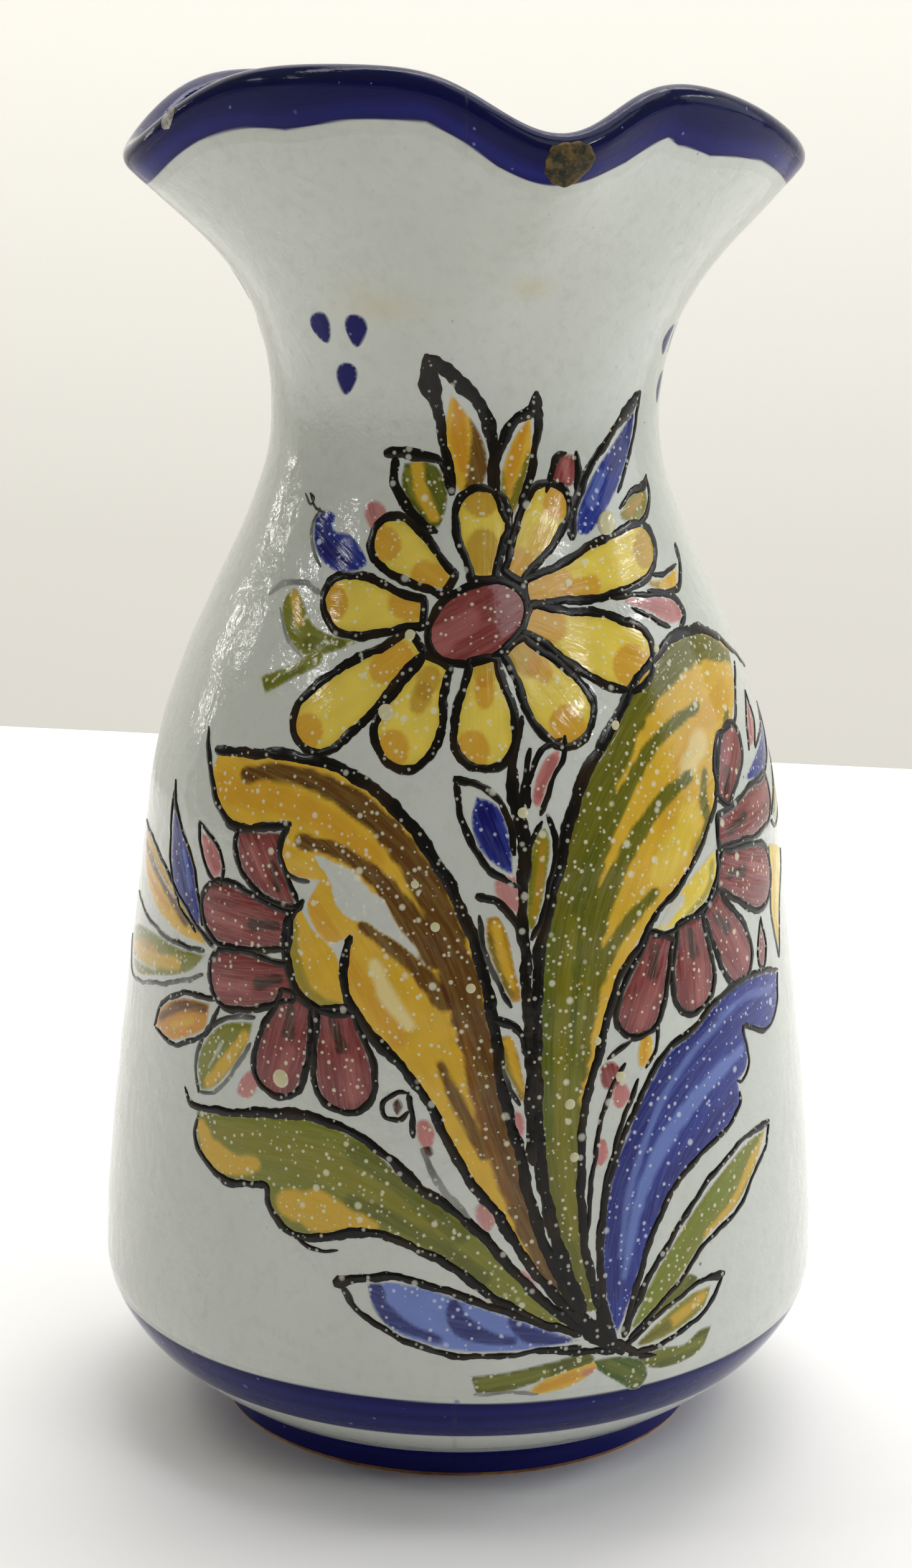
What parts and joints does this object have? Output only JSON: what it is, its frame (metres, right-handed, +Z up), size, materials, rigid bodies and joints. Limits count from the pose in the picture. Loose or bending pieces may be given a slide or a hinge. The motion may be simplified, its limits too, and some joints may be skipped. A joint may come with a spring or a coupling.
{
  "type": "pottery vase",
  "caption": "Round-shouldered earthenware flower vase with a narrow neck, a wide pinched wavy mouth and a foot ring, white glazed with blue bands and painted flowers.",
  "frame": {"origin": "centre of the foot ring, on the plane it stands on", "axes": "+Z up along the pot's axis of turning; the painted bouquet faces -Y"},
  "size_m": [0.1246, 0.1246, 0.2296],
  "materials": {
    "fired_clay": "bare fired earthenware, matt, seen only under the foot and in the chip on the lip",
    "white_glaze": "glossy white tin glaze, slightly uneven, with fine dark specks",
    "cobalt_glaze": "glossy deep cobalt painted into the glaze, with a soft blue edge",
    "black_outline": "glossy brown-black brush line, slightly raised",
    "yellow_enamel": "glossy lemon and orange enamel with small pale bubbles",
    "green_enamel": "glossy olive-green enamel, brushed over yellow",
    "maroon_enamel": "glossy rose-brown enamel with paler brush scratches",
    "blue_enamel": "glossy cobalt enamel with paler streaks"
  },
  "bodies": {
    "root": {"clay_body": "fired_clay", "inner_glaze": "white_glaze", "outer_glaze": "white_glaze", "rim_band_glaze": "cobalt_glaze", "upper_foot_band": "cobalt_glaze", "foot_stripe": "white_glaze", "lower_foot_band": "cobalt_glaze"}
  },
  "joints": []
}
